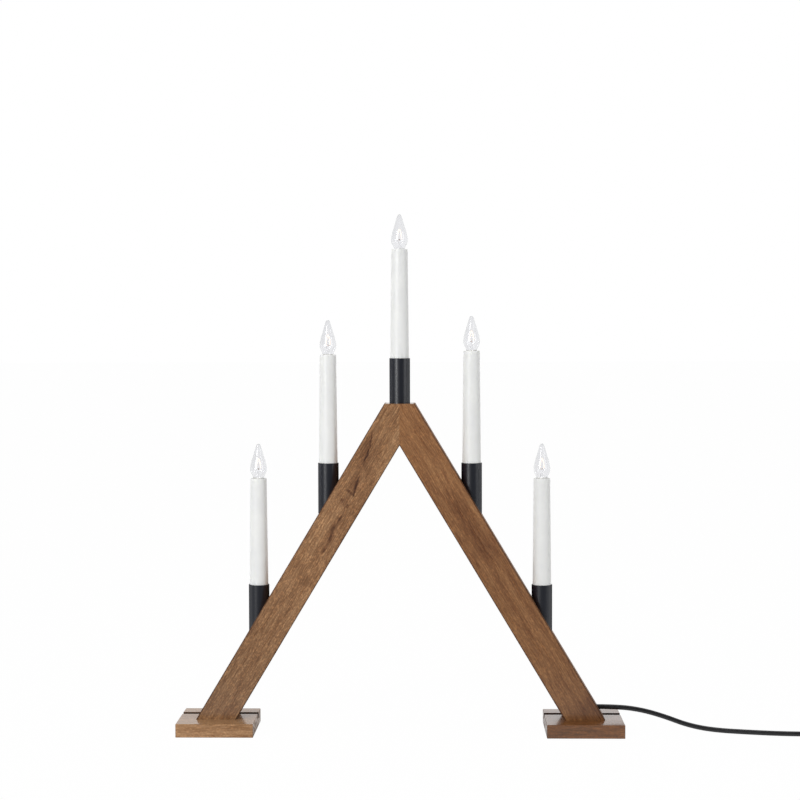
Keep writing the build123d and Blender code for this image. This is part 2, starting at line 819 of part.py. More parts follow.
# Tie round the bundle of turns, on the side across from the ends
tie_inner_radius = coil_outer_radius - coil_turn_pitch * coil_turns / 2 - cord_radius - tie_clearance
tie_outer_radius = coil_outer_radius - coil_turn_pitch / 2 + cord_radius + tie_clearance
tie_hole_height = layer_high_z - layer_low_z + cord_diameter + 2 * tie_clearance
tie_hole_length = tie_outer_radius - tie_inner_radius
tie_middle = (coil_y + (tie_inner_radius + tie_outer_radius) / 2, (layer_low_z + layer_high_z) / 2)
with BuildPart() as cord_tie:
    with BuildSketch(Plane.YZ.offset(coil_x)):
        with Locations(tie_middle):
            RectangleRounded(
                tie_hole_length + 2 * tie_thickness,
                tie_hole_height + 2 * tie_thickness,
                tie_thickness,
            )
            Rectangle(tie_hole_length, tie_hole_height, mode=Mode.SUBTRACT)
    extrude(amount=tie_width / 2, both=True)
keep(cord_tie.part, "cord_tie")

# Plug: it lies flat, with its axis at the height of the cord's end
plug_axis_z = layer_high_z
sleeve_x = coil_x + coil_lead_out
plug_rear_x = sleeve_x + sleeve_length
plug_front_x = plug_rear_x + plug_length
shoulder_x = plug_rear_x + plug_shoulder_share * plug_length
plug_y = coil_start.Y
pin_places = [(plug_y + side * pin_spacing / 2, plug_axis_z) for side in (-1, 1)]
with BuildPart() as plug_body:
    with BuildSketch(Plane.XY):
        with BuildLine():
            Polyline(
                (plug_rear_x, plug_y - plug_rear_width / 2),
                (shoulder_x, plug_y - plug_front_width / 2),
                (plug_front_x, plug_y - plug_front_width / 2),
                (plug_front_x, plug_y + plug_front_width / 2),
                (shoulder_x, plug_y + plug_front_width / 2),
                (plug_rear_x, plug_y + plug_rear_width / 2),
                close=True,
            )
        make_face()
    extrude(amount=2 * plug_axis_z)
    fillet(plug_body.edges(), plug_edge_radius)
    with BuildSketch(Plane.YZ.offset(sleeve_x)):
        with Locations((plug_y, plug_axis_z)):
            Circle(sleeve_tip_diameter / 2)
    with BuildSketch(Plane.YZ.offset(plug_rear_x + plug_edge_radius)):
        with Locations((plug_y, plug_axis_z)):
            Circle(sleeve_root_diameter / 2)
    loft()
    with BuildSketch(Plane.YZ.offset(plug_front_x)):
        with Locations(*pin_places):
            Circle(pin_root_diameter / 2 + fit_clearance)
    extrude(amount=-pin_anchor, mode=Mode.SUBTRACT)
keep(plug_body.part, "plug_body")

# Pins: their thinner roots are held in the plug
with BuildPart() as plug_pins:
    with BuildSketch(Plane.YZ.offset(plug_front_x - pin_anchor)):
        with Locations(*pin_places):
            Circle(pin_root_diameter / 2)
    extrude(amount=pin_anchor + cut_overrun)
    with BuildSketch(Plane.YZ.offset(plug_front_x)):
        with Locations(*pin_places):
            Circle(pin_diameter / 2)
    extrude(amount=pin_length)
    chamfer(plug_pins.edges().group_by(Axis.X)[-1], pin_tip_chamfer)
keep(plug_pins.part, "plug_pins")
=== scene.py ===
"""Dresses the candle arch: stained wood, black cups, white candles, clear lit bulbs and a black cord."""
import math

import bmesh
import bpy
import numpy as np
from mathutils import Matrix, Vector


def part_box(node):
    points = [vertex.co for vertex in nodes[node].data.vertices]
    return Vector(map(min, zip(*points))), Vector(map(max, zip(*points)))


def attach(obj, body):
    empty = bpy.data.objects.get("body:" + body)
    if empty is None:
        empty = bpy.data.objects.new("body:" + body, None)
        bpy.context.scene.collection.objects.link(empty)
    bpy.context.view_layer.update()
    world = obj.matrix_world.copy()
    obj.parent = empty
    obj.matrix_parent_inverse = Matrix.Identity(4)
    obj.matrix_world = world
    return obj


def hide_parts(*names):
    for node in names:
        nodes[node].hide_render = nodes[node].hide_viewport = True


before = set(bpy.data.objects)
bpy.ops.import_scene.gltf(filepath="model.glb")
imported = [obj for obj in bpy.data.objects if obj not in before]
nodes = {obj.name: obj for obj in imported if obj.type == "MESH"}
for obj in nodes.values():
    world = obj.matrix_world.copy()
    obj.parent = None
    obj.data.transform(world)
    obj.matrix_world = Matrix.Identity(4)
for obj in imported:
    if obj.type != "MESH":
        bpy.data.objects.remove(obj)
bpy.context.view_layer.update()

scene = bpy.context.scene
scene.view_settings.view_transform = "Standard"

CANDLES = ("top", "left_upper", "right_upper", "left_lower", "right_lower")

# The camera that fits the photograph: its place and reach in metres, its turns in degrees, and its focal
# length and frame in pixels
CAMERA_PLACE = (0.0422, -1.8016, 0.3991)
CAMERA_REACH = 50.0
CAMERA_YAW = 1.335
CAMERA_PITCH = -2.244
CAMERA_ROLL = -0.141
FOCAL_PIXELS = 1825.0
FRAME_PIXELS = 800.0
SENSOR_MM = 36.0

# Soft lamps that face one place: name, place, width and height in metres, and power in watts
LAMP_TARGET = (0, 0, 0.25)
LAMPS = (
    ("key", (-1.35, -1.85, 1.0), (0.6, 1.6), 28.5),
    ("fill", (1.9, -1.0, 0.8), (0.8, 1.4), 6.8),
    ("overhead", (0, -0.15, 1.7), (1.4, 0.4), 3.5),
)

# The room: how bright it is as light and, in front of the object, to gloss. Gloss sees it turn to white
# behind the object, between two shares of the backward way
ROOM_LIGHT = 0.5
ROOM_FRONT = 0.12
ROOM_BACKWARD = (0.3, 0.95, 0.1)
ROOM_TURN = (-0.1, 0.6)

# The floor: half its width in metres, its paint, and the share of its look that is plain white. Gloss sees it
# dim in front of the object and white behind, between two values of Y
FLOOR_HALF = 20.0
FLOOR_PAINT = 0.9
FLOOR_WHITE = 0.985
FLOOR_FRONT = 0.22
FLOOR_TURN = (-0.4, 0.1)

# The lean of the legs above the horizontal, in degrees
LEG_SLOPE = 59.08

# A leg's section in millimetres: its middle across the grain, half its width and half its depth
LEG_SECTION = (163.07, 17.0, 16.25)

# The groove in a foot, in millimetres: its lowest and highest Y, and the height of the face it is cut into
FOOT_GROOVE = (10.25, 18.85, 13.35)

# Checks and stains in the legs: middle along X and up Z in millimetres, lean in degrees, half length and half
# width in millimetres, and the share of the colour that is left, where more than 1 is a paler place
LEFT_CHECKS = [
    (-27.9, 290.3, 81, 10.9, 1.1, 0.38),
    (-32.4, 274.2, 71, 12.1, 1.2, 0.36),
    (-33.5, 276.4, 75, 22.7, 5.0, 0.8),
    (-42.8, 243.8, 74, 12.0, 1.5, 0.34),
    (-48.5, 238.0, 141, 7.0, 2.2, 0.5),
    (-44.6, 246.1, 62, 15.6, 7.5, 0.76),
    (-53.7, 229.7, 52, 8.4, 5.5, 0.66),
    (-57.1, 231.2, 42, 2.5, 2.2, 0.55),
    (-51.2, 224.3, 55, 2.5, 2.0, 0.55),
    (-59.0, 212.2, 60, 5.7, 1.6, 0.48),
    (-66.9, 199.4, 72, 12.2, 2.0, 0.6),
    (-68.3, 192.6, 64, 7.5, 3.2, 0.72),
    (-73.2, 183.2, 58, 7.8, 1.8, 0.62),
    (-66.5, 198.9, 66, 23.7, 6.5, 0.86),
    (-30.0, 275.0, 60, 32.0, 16.0, 0.9),
    (-17.0, 294.0, 60, 26.0, 18.0, 1.12),
]
RIGHT_CHECKS = [
    (71.0, 202.0, 121, 52.0, 15.0, 0.8),
    (88.0, 180.0, 121, 18.0, 7.0, 0.86),
    (78.0, 211.0, 121, 26.0, 4.5, 1.3),
    (188.7, 24.0, 121, 20.0, 22.0, 0.8),
    (40.0, 262.0, 121, 26.0, 16.0, 1.14),
]

# Patterns in the wood: length along the grain and width across it in millimetres, and detail of the noise.
# Fibres and pores are drawn about 1 mm wide, coarser than real ones, so that they show
GRAIN_PATTERNS = {
    "drift": (130, 22, 2.0),
    "bands": (90, 6, 3.0),
    "streaks": (45, 1.4, 3.0),
    "fibres": (14, 0.9, 2.0),
    "flecks": (2.4, 1.2, 1.0),
    "pores": (7, 1.0, 1.0),
}

# Shares of the patterns in the wood's tone, where bands take theirs from drift and streaks alike, and the
# tones that get the dark, middle and light colour
DRIFT_SHARE = 0.36
STREAK_SHARE = 0.18
FIBRE_SHARE = 0.46
TONE_STOPS = (0.38, 0.5, 0.62)

# The noise at which flecks and pores start and are strongest
FLECK_STOPS = (0.48, 0.7)
PORE_STOPS = (0.6, 0.75)

# How far the grain wanders sideways, in metres, and the length of a bend in millimetres
WANDER = 0.006
WANDER_MM = 83.333

# How far a check's edge frays, in metres, the size of the fraying in millimetres, the share of the way in at
# which a check is full, and the powers by which it takes red, green and blue
FRAY = 0.003
FRAY_MM = 6.25
CHECK_FULL = 0.55
CHECK_POWERS = (1, 1.3, 1.5)

# The height in metres from which a leg may grow lighter upwards
FADE_START = 0.03

# How far from a leg's faces, in millimetres, the painted shade on an arris starts and is darkest, and how
# matt the narrow sides are
ARRIS_STARTS = 1.3
ARRIS_DARKEST = 0.5
SIDE_MATT = 0.7

# Painted shade in a groove, in metres: the middle and half of the depths it shows at, and the slack at the
# sides
GROOVE_SHADE_DEPTH = 0.0028
GROOVE_SHADE_HALF = 0.0026
GROOVE_SHADE_SLACK = 0.0001

# End grain on the feet: how far a face looks along X, the size of its streaks along each axis in millimetres,
# their tilt in radians, the heights in metres between which they grow darker towards the bottom as painted
# shade, by how much, and how dark
END_FACING = 0.6
RING_MM = (40, 14.286, 2)
RING_TILT = 0.6
LOW_END = (0.002, 0.0008)
LOW_GAIN = 0.3
END_DARK = 0.85

# What each stain and each painted shade leaves of the colour under it
WHITE = (1, 1, 1, 1)
PORE_STAIN = (0.7, 0.6, 0.52, 1)
# Painted shade along a leg's arrises, darkest where two faces meet
ARRIS_SHADE = (0.36, 0.3, 0.28, 1)
# Painted shade in a foot's groove, and the stain of its end grain
GROOVE_SHADE_AND_END_STAIN = (0.12, 0.1, 0.1, 1)

# Roughness of the satin wood, from and to, and the roughness and shine of matt wood
SATIN = (0.26, 0.36)
MATT_ROUGHNESS = 0.95
MATT_SHINE = 0.05

# The range that noise mostly keeps to, and the height of a fine relief in metres
NOISE_LOW = 0.3
NOISE_HIGH = 0.7
RELIEF_HEIGHT = 0.0002

# The shine of a rough coat seen straight on, and the turns from the eye between which it falls to its rim
COAT_SHINE = 0.82
COAT_TURN = (0.3, 0.62)

# The cord's route from the leg to the coil, and the coil, in metres
CORD_DIAMETER = 0.0048
CORD_ROUTE = [
    (0.1930, 0.0000, 0.0238),
    (0.2160, 0.0000, 0.0238),
    (0.2400, -0.0005, 0.0206),
    (0.2620, -0.0020, 0.0144),
    (0.2840, -0.0050, 0.0066),
    (0.3080, -0.0095, 0.0028),
    (0.3420, -0.0180, 0.0025),
    (0.3800, -0.0260, 0.0027),
    (0.4140, -0.0285, 0.0033),
    (0.4400, -0.0285, 0.0033),
]
CORD_ROUND_STEPS = 5
CORD_LINE_STEPS = 6
CORD_ORDER = 3
COIL_TURNS = 9
COIL_OUTER_RADIUS = 0.0385
COIL_TURN_PITCH = 0.0054
COIL_LEAD_IN = 0.005
COIL_LEAD_OUT = 0.030
COIL_POINTS_PER_TURN = 16

# The bulb, in millimetres from the top of its candle tube: radius and height up the outside of the glass and
# down its inside, with the neck and foot that stand in the base
GLASS_NECK = [(3.55, -4.4), (3.55, -2.2)]
GLASS_OUTSIDE = [
    (4.4, -2.2),
    (5.6, 1.54),
    (8.2, 8.31),
    (7.06, 16.42),
    (5.55, 21.31),
    (4.1, 26.3),
    (2.8, 30.61),
    (1.95, 33.0),
    (0.95, 34.0),
    (0, 34.2),
]
GLASS_INSIDE = [
    (0, 33.5),
    (0.75, 33.3),
    (1.5, 32.5),
    (2.35, 30.2),
    (3.65, 26.0),
    (5.1, 21.0),
    (6.6, 16.2),
    (7.75, 8.3),
    (5.2, 1.7),
    (4.0, -1.8),
]
GLASS_FOOT = [(2.95, -1.8), (2.95, -4.4)]

# How many rows at the lower end of the glass are set in cement, whose opaque white above the tube is painted
# light in place of the clear glass foot
WHITE_FOOT_ROWS = 6

# The mount inside the glass, in millimetres: the stem, the wires it holds, their bead and the filament
STEM = [(0, 0.3), (1.6, 0.1), (2.2, -0.6), (2.45, -2.4), (2.45, -12.0), (0, -12.2)]
LEADS = [
    [(-1.3, 0, -1.5), (-1.5, 0, 2.0), (-1.0, 0, 5.5), (-2.2, 0, 10.0)],
    [(1.3, 0, -1.5), (1.5, 0, 2.0), (1.0, 0, 5.5), (2.2, 0, 10.0)],
]
LEAD_RADIUS = 0.28
BEAD = [(0, 8.6), (0.7, 8.8), (0.9, 9.3), (0.7, 9.8), (0, 10.0)]
SUPPORT = [(0, 0.3, -1.0), (0, 0.5, 6.0), (0, 0.4, 14.0), (0, 0, 19.4)]
SUPPORT_RADIUS = 0.1
FILAMENT = [
    (-2.2, 0, 10.0),
    (-1.7, 0, 14.5),
    (-0.8, 0, 18.3),
    (0, 0, 19.4),
    (0.8, 0, 18.3),
    (1.7, 0, 14.5),
    (2.2, 0, 10.0),
]
FILAMENT_RADIUS = 0.5

# Steps round the turned pieces and the wires, and along each stretch of a smooth line
GLASS_STEPS = 48
STEM_STEPS = 20
BEAD_STEPS = 16
WIRE_STEPS = 8
LINE_STEPS = 8

# A way that no wire runs along, the distance in metres at which points are one, and the angle in degrees
# past which an edge is sharp
ACROSS_WIRES = (0.2, 1.0, 0.1)
SAME_POINT = 1e-7
SHARP_DEGREES = 50


def linear(code):
    """An sRGB hex colour as linear red, green, blue and alpha."""
    values = [int(code[i : i + 2], 16) / 255 for i in (1, 3, 5)]
    return tuple(v / 12.92 if v <= 0.04045 else ((v + 0.055) / 1.055) ** 2.4 for v in values) + (1.0,)


def grey(value):
    """One value as red, green and blue, with full alpha."""
    return (value, value, value, 1.0)


def per_mm(*sizes):
    """The scale at which one unit of a pattern is so many millimetres along each axis."""
    return tuple(1000 / size for size in sizes)


def bare_tree(owner):
    """The emptied node tree of a material or of the world."""
    owner.use_nodes = True
    owner.node_tree.nodes.clear()
    return owner.node_tree


def add(tree, kind, inputs=None, stops=(), **settings):
    """Adds one node, sets its settings and colour stops, and gives its inputs values or links.

    Inputs go by their name or by their number in the node."""
    node = tree.nodes.new(kind)
    for name, value in settings.items():
        setattr(node, name, value)
    for place, _ in stops[2:]:
        node.color_ramp.elements.new(place)
    for element, (place, colour) in zip(node.color_ramp.elements if stops else (), stops):
        element.position = place
        element.color = colour
    for name, value in (inputs or {}).items():
        if isinstance(value, bpy.types.NodeSocket):
            tree.links.new(value, node.inputs[name])
        else:
            node.inputs[name].default_value = value
    return node


def grain_patterns(tree, along, start):
    """Noise drawn out along the grain, which starts at its own place and wanders a little sideways."""
    grain = add(tree, "ShaderNodeVectorMath", {0: along, 1: start}, operation="ADD").outputs[0]
    waves = {"Vector": grain, "Scale": 1000 / WANDER_MM, "Detail": 1.0}
    wander = add(tree, "ShaderNodeTexNoise", waves).outputs[1]
    sideways = {0: wander, 1: (0, WANDER, WANDER)}
    shift = add(tree, "ShaderNodeVectorMath", sideways, operation="MULTIPLY").outputs[0]
    bent = add(tree, "ShaderNodeVectorMath", {0: grain, 1: shift}, operation="ADD").outputs[0]
    patterns = {}
    for name, (length, width, detail) in GRAIN_PATTERNS.items():
        drawn_out = {"Vector": bent, "Scale": per_mm(length, width, width)}
        size = add(tree, "ShaderNodeMapping", drawn_out).outputs[0]
        noise = {"Vector": size, "Scale": 1.0, "Detail": detail}
        patterns[name] = add(tree, "ShaderNodeTexNoise", noise).outputs[0]
    return patterns


def grain_colour(tree, patterns, colours, banding):
    """The patterns added up by their shares, as a tone between the dark, middle and light colours."""
    drift = {0: patterns["drift"], 1: DRIFT_SHARE - banding / 2}
    tone = add(tree, "ShaderNodeMath", drift, operation="MULTIPLY").outputs[0]
    for name, share in (("bands", banding), ("streaks", STREAK_SHARE - banding / 2), ("fibres", FIBRE_SHARE)):
        added = {0: patterns[name], 1: share, 2: tone}
        tone = add(tree, "ShaderNodeMath", added, operation="MULTIPLY_ADD").outputs[0]
    stops = [(place, linear(code)) for place, code in zip(TONE_STOPS, colours)]
    return add(tree, "ShaderNodeValToRGB", {0: tone}, stops=stops).outputs[0]


def check_shades(tree, coords, checks):
    """For each check a stroke that fades out from its middle to a frayed edge."""
    noise = {"Vector": coords, "Scale": 1000 / FRAY_MM, "Detail": 3.0}
    ragged = add(tree, "ShaderNodeTexNoise", noise).outputs[1]
    edge = {0: ragged, 1: (FRAY, 0, FRAY), 2: coords}
    frayed = add(tree, "ShaderNodeVectorMath", edge, operation="MULTIPLY_ADD").outputs[0]
    shades = []
    for x, z, lean, half_length, half_width, left in checks:
        middle = {
            "Vector": frayed,
            "Location": (x / 1000 + FRAY / 2, 0, z / 1000 + FRAY / 2),
            "Rotation": (0, -math.radians(lean), 0),
            "Scale": (half_length / 1000, 1, half_width / 1000),
        }
        stroke = add(tree, "ShaderNodeMapping", middle, vector_type="TEXTURE").outputs[0]
        near = add(tree, "ShaderNodeTexGradient", {0: stroke}, gradient_type="SPHERICAL").outputs[1]
        tint = [left**power for power in CHECK_POWERS]
        stops = [(0.0, WHITE), (CHECK_FULL, (*tint, 1))]
        shades.append(add(tree, "ShaderNodeValToRGB", {0: near}, stops=stops).outputs[0])
    return shades


def leg_matt_and_shade(tree, along, place, section):
    """How matt the narrow sides of a leg are, and the painted shade on its arrises.

    Both grow with the distance from the middle of the leg. An arris is where two faces are near."""
    middle_across, half_width, half_depth = section
    across = add(tree, "ShaderNodeSeparateXYZ", {0: along}).outputs["Z"]
    off = add(tree, "ShaderNodeMath", {0: across, 1: middle_across / 1000}, operation="SUBTRACT").outputs[0]
    edges = []
    for value, half in ((off, half_width), (place["Y"], half_depth)):
        out = add(tree, "ShaderNodeMath", {0: value}, operation="ABSOLUTE").outputs[0]
        reach = {0: out, 1: (half - ARRIS_STARTS) / 1000, 2: (half - ARRIS_DARKEST) / 1000}
        edges.append(add(tree, "ShaderNodeMapRange", reach).outputs[0])
    matt = add(tree, "ShaderNodeMath", {0: edges[0], 1: SIDE_MATT}, operation="MULTIPLY").outputs[0]
    corner = add(tree, "ShaderNodeMath", {0: edges[0], 1: edges[1]}, operation="MULTIPLY").outputs[0]
    stops = [(0.0, WHITE), (1.0, ARRIS_SHADE)]
    return matt, add(tree, "ShaderNodeValToRGB", {0: corner}, stops=stops).outputs[0]


def foot_matt_shade_and_stain(tree, coords, place, groove):
    """How matt a foot is in its groove and in streaks of end grain, and how dark: painted shade in the
    groove, and the end grain's stain, darker low down as painted shade.
    """
    low_y, high_y, face_z = (size / 1000 for size in groove)
    # Painted shade in the groove, darkest between two depths below the face it is cut into
    sides = {0: place["Y"], 1: (low_y + high_y) / 2, 2: (high_y - low_y) / 2 + GROOVE_SHADE_SLACK}
    inside = add(tree, "ShaderNodeMath", sides, operation="COMPARE").outputs[0]
    depth = add(tree, "ShaderNodeMath", {0: face_z, 1: place["Z"]}, operation="SUBTRACT").outputs[0]
    reach = {0: depth, 1: GROOVE_SHADE_DEPTH, 2: GROOVE_SHADE_HALF}
    sunk = add(tree, "ShaderNodeMath", reach, operation="COMPARE").outputs[0]
    groove_shade = add(tree, "ShaderNodeMath", {0: inside, 1: sunk}, operation="MULTIPLY").outputs[0]

    # End grain is where the wood faces along X; its streaks are stain, and grow darker low down as painted
    # shade
    normal = add(tree, "ShaderNodeNewGeometry").outputs["Normal"]
    facing = add(tree, "ShaderNodeSeparateXYZ", {0: normal}).outputs["X"]
    either_way = add(tree, "ShaderNodeMath", {0: facing}, operation="ABSOLUTE").outputs[0]
    end = add(tree, "ShaderNodeMath", {0: either_way, 1: END_FACING}, operation="GREATER_THAN").outputs[0]
    tilted = add(tree, "ShaderNodeMapping", {"Vector": coords, "Rotation": (RING_TILT, 0, 0)}).outputs[0]
    rings = add(tree, "ShaderNodeMapping", {"Vector": tilted, "Scale": per_mm(*RING_MM)}).outputs[0]
    ray = add(tree, "ShaderNodeTexNoise", {"Vector": rings, "Scale": 1.0, "Detail": 3.0}).outputs[0]
    height = {0: place["Z"], 1: LOW_END[0], 2: LOW_END[1], 3: 0.0, 4: LOW_GAIN}
    low = add(tree, "ShaderNodeMapRange", height).outputs[0]
    darker_low = add(tree, "ShaderNodeMath", {0: ray, 1: low}, operation="ADD").outputs[0]
    darkness = {0: darker_low, 1: NOISE_LOW, 2: NOISE_HIGH, 4: END_DARK}
    streak = add(tree, "ShaderNodeMapRange", darkness).outputs[0]
    drawn = add(tree, "ShaderNodeMath", {0: streak, 1: end}, operation="MULTIPLY").outputs[0]
    matt = add(tree, "ShaderNodeMath", {0: drawn, 1: groove_shade}, operation="MAXIMUM").outputs[0]
    stops = [(0.0, WHITE), (1.0, GROOVE_SHADE_AND_END_STAIN)]
    return matt, add(tree, "ShaderNodeValToRGB", {0: matt}, stops=stops).outputs[0]


# Walnut-stained acacia, planed and lacquered: a slow drift of tone, fine fibres and short flecks along the
# grain, dark checks where given, painted shade on arrises and in cut grooves, stain in end grain that is
# darker low down as painted shade, and a satin lacquer that mirrors the room at a low angle. A leg gives its
# section, and a foot its groove. A fade is how light the colour is near the foot and higher up, and the
# height in metres where it ends
def stained_acacia(
    name,
    grain_turn,
    start,
    colours,
    lacquer,
    banding=0.15,
    fleck=0.3,
    shine=0.5,
    fade=None,
    checks=None,
    section=None,
    groove=None,
):
    material = bpy.data.materials.new(name)
    tree = bare_tree(material)
    coords = add(tree, "ShaderNodeTexCoord").outputs["Object"]
    place = add(tree, "ShaderNodeSeparateXYZ", {0: coords}).outputs
    turn = (0, math.radians(grain_turn), 0)
    along = add(tree, "ShaderNodeMapping", {"Vector": coords, "Rotation": turn}).outputs[0]
    patterns = grain_patterns(tree, along, start)
    colour = grain_colour(tree, patterns, colours, banding)

    # Flecks are pale, and the wood between them is darker by a fifth as much
    shades = []
    for pattern, places, ends in (
        ("flecks", FLECK_STOPS, (grey(1 - fleck / 5), grey(1 + fleck))),
        ("pores", PORE_STOPS, (WHITE, PORE_STAIN)),
    ):
        stops = list(zip(places, ends))
        shades.append(add(tree, "ShaderNodeValToRGB", {0: patterns[pattern]}, stops=stops).outputs[0])
    if checks:
        shades += check_shades(tree, coords, checks)
    if fade:
        near_foot, higher_up, end_height = fade
        height = {0: place["Z"], 1: FADE_START, 2: end_height, 3: near_foot, 4: higher_up}
        shades.append(add(tree, "ShaderNodeMapRange", height).outputs[0])
    # A leg gets painted shade on its arrises; a foot gets painted shade in its groove and low in its end
    # grain, over the end grain's stain
    if section:
        matt, shade_and_stain = leg_matt_and_shade(tree, along, place, section)
    else:
        matt, shade_and_stain = foot_matt_shade_and_stain(tree, coords, place, groove)
    for shade in [*shades, shade_and_stain]:
        both = {0: 1.0, 6: colour, 7: shade}
        colour = add(tree, "ShaderNodeMix", both, data_type="RGBA", blend_type="MULTIPLY").outputs[2]

    # Matt wood is rough, with hardly any shine and no lacquer
    satin = {0: patterns["streaks"], 1: NOISE_LOW, 2: NOISE_HIGH, 3: SATIN[0], 4: SATIN[1]}
    gloss = add(tree, "ShaderNodeMapRange", satin).outputs[0]
    relief = {"Strength": 0.12, "Distance": RELIEF_HEIGHT, "Height": patterns["fibres"]}
    finish = {
        "Base Color": colour,
        "Roughness": add(tree, "ShaderNodeMix", {0: matt, 2: gloss, 3: MATT_ROUGHNESS}).outputs[0],
        "Specular IOR Level": add(tree, "ShaderNodeMapRange", {0: matt, 3: shine, 4: MATT_SHINE}).outputs[0],
        "Coat Weight": add(tree, "ShaderNodeMapRange", {0: matt, 3: lacquer, 4: 0.0}).outputs[0],
        "Coat Roughness": 0.12,
        "Normal": add(tree, "ShaderNodeBump", relief).outputs[0],
    }
    wood = add(tree, "ShaderNodeBsdfPrincipled", finish).outputs[0]
    add(tree, "ShaderNodeOutputMaterial", {"Surface": wood})
    return material


# Moulded, coated or drawn surfaces: a slow drift of tone and a fine skin, by noise of a size in millimetres.
# A rim is how much of the shine is left at a low angle, where a rough coat hides it
def skinned(name, colours, grain_mm, roughness, relief=0.08, metallic=0.0, subsurface=0.0, rim=None):
    material = bpy.data.materials.new(name)
    tree = bare_tree(material)
    coords = add(tree, "ShaderNodeTexCoord").outputs["Object"]
    scaled = {"Vector": coords, "Scale": per_mm(grain_mm, grain_mm, grain_mm)}
    size = add(tree, "ShaderNodeMapping", scaled).outputs[0]
    skin = add(tree, "ShaderNodeTexNoise", {"Vector": size, "Scale": 1.0, "Detail": 3.0}).outputs[0]
    stops = [(place, linear(code)) for place, code in zip((NOISE_LOW, NOISE_HIGH), colours)]
    gloss = {0: skin, 1: NOISE_LOW, 2: NOISE_HIGH, 3: roughness[0], 4: roughness[1]}
    bumps = {"Strength": relief, "Distance": RELIEF_HEIGHT, "Height": skin}
    finish = {
        "Base Color": add(tree, "ShaderNodeValToRGB", {0: skin}, stops=stops).outputs[0],
        "Roughness": add(tree, "ShaderNodeMapRange", gloss).outputs[0],
        "Normal": add(tree, "ShaderNodeBump", bumps).outputs[0],
        "Metallic": metallic,
        "Subsurface Weight": subsurface,
        "Subsurface Radius": (0.003, 0.003, 0.0027),
        "Subsurface Scale": 1.0,
    }
    if rim:
        facing = add(tree, "ShaderNodeLayerWeight", {"Blend": 0.5}).outputs["Facing"]
        shine = {0: facing, 1: COAT_TURN[0], 2: COAT_TURN[1], 3: COAT_SHINE, 4: rim}
        finish["Specular IOR Level"] = add(tree, "ShaderNodeMapRange", shine).outputs[0]
    surface = add(tree, "ShaderNodeBsdfPrincipled", finish).outputs[0]
    add(tree, "ShaderNodeOutputMaterial", {"Surface": surface})
    return material


# Blown soda-lime glass: clear, thin-walled and smooth, faintly grey through its thickness, and open to the
# light of lamps
def clear_glass():
    material = bpy.data.materials.new("clear_glass")
    tree = bare_tree(material)
    shadow = add(tree, "ShaderNodeLightPath").outputs["Is Shadow Ray"]
    finish = {
        "Base Color": linear("#fdfdfe"),
        "Transmission Weight": 1.0,
        "Roughness": 0.0,
        "IOR": 1.45,
        "Alpha": add(tree, "ShaderNodeMapRange", {0: shadow, 3: 1.0, 4: 0.1}).outputs[0],
    }
    smooth = add(tree, "ShaderNodeBsdfPrincipled", finish).outputs[0]
    tint = add(tree, "ShaderNodeVolumeAbsorption", {"Color": linear("#abaeb0"), "Density": 240.0}).outputs[0]
    add(tree, "ShaderNodeOutputMaterial", {"Surface": smooth, "Volume": tint})
    return material


# Drawn tungsten wire, hot: it glows warm white
def glowing_tungsten():
    material = bpy.data.materials.new("glowing_tungsten")
    tree = bare_tree(material)
    finish = {
        "Base Color": linear("#8a7f70"),
        "Roughness": 0.5,
        "Emission Color": linear("#ffe9dc"),
        "Emission Strength": 1.25,
    }
    hot = add(tree, "ShaderNodeBsdfPrincipled", finish).outputs[0]
    add(tree, "ShaderNodeOutputMaterial", {"Surface": hot})
    return material


def add_camera():
    """Looks along +Y, with its yaw about Z, pitch about its own X and roll about its line of sight."""
    data = bpy.data.cameras.new("camera")
    data.sensor_fit = "HORIZONTAL"
    data.sensor_width = SENSOR_MM
    data.lens = SENSOR_MM * FOCAL_PIXELS / FRAME_PIXELS
    data.clip_end = CAMERA_REACH
    camera = bpy.data.objects.new("camera", data)
    turn = (
        Matrix.Rotation(math.radians(CAMERA_YAW), 4, "Z")
        @ Matrix.Rotation(math.radians(90 + CAMERA_PITCH), 4, "X")
        @ Matrix.Rotation(math.radians(CAMERA_ROLL), 4, "Z")
    )
    camera.matrix_world = Matrix.Translation(CAMERA_PLACE) @ turn
    scene.collection.objects.link(camera)
    scene.camera = camera


def coil_points():
    """Turns about an upright axis: in on the low layer and out on the high one.

    The radius falls by a pitch a turn and grows again, and the line climbs over the middle half turn. Control
    points stand out by 1 / cos(pi / points a turn), because the curve cuts inside them."""
    start = np.array(CORD_ROUTE[-1])
    centre = start[:2] + (COIL_LEAD_IN, COIL_OUTER_RADIUS)
    turns = np.linspace(0, COIL_TURNS, COIL_TURNS * COIL_POINTS_PER_TURN + 1)
    inward = COIL_TURN_PITCH * np.minimum(turns, COIL_TURNS - turns)
    radius = (COIL_OUTER_RADIUS - inward) / math.cos(math.pi / COIL_POINTS_PER_TURN)
    radius[[0, -1]] = COIL_OUTER_RADIUS
    climb = np.clip((turns - COIL_TURNS / 2) * 2 + 0.5, 0, 1)
    angle = 2 * math.pi * turns - math.pi / 2
    x = centre[0] + radius * np.cos(angle)
    y = centre[1] + radius * np.sin(angle)
    z = start[2] + climb * COIL_TURN_PITCH
    end = (x[-1] + COIL_LEAD_OUT, y[-1], z[-1])
    return np.column_stack([x, y, z]).tolist() + [end]


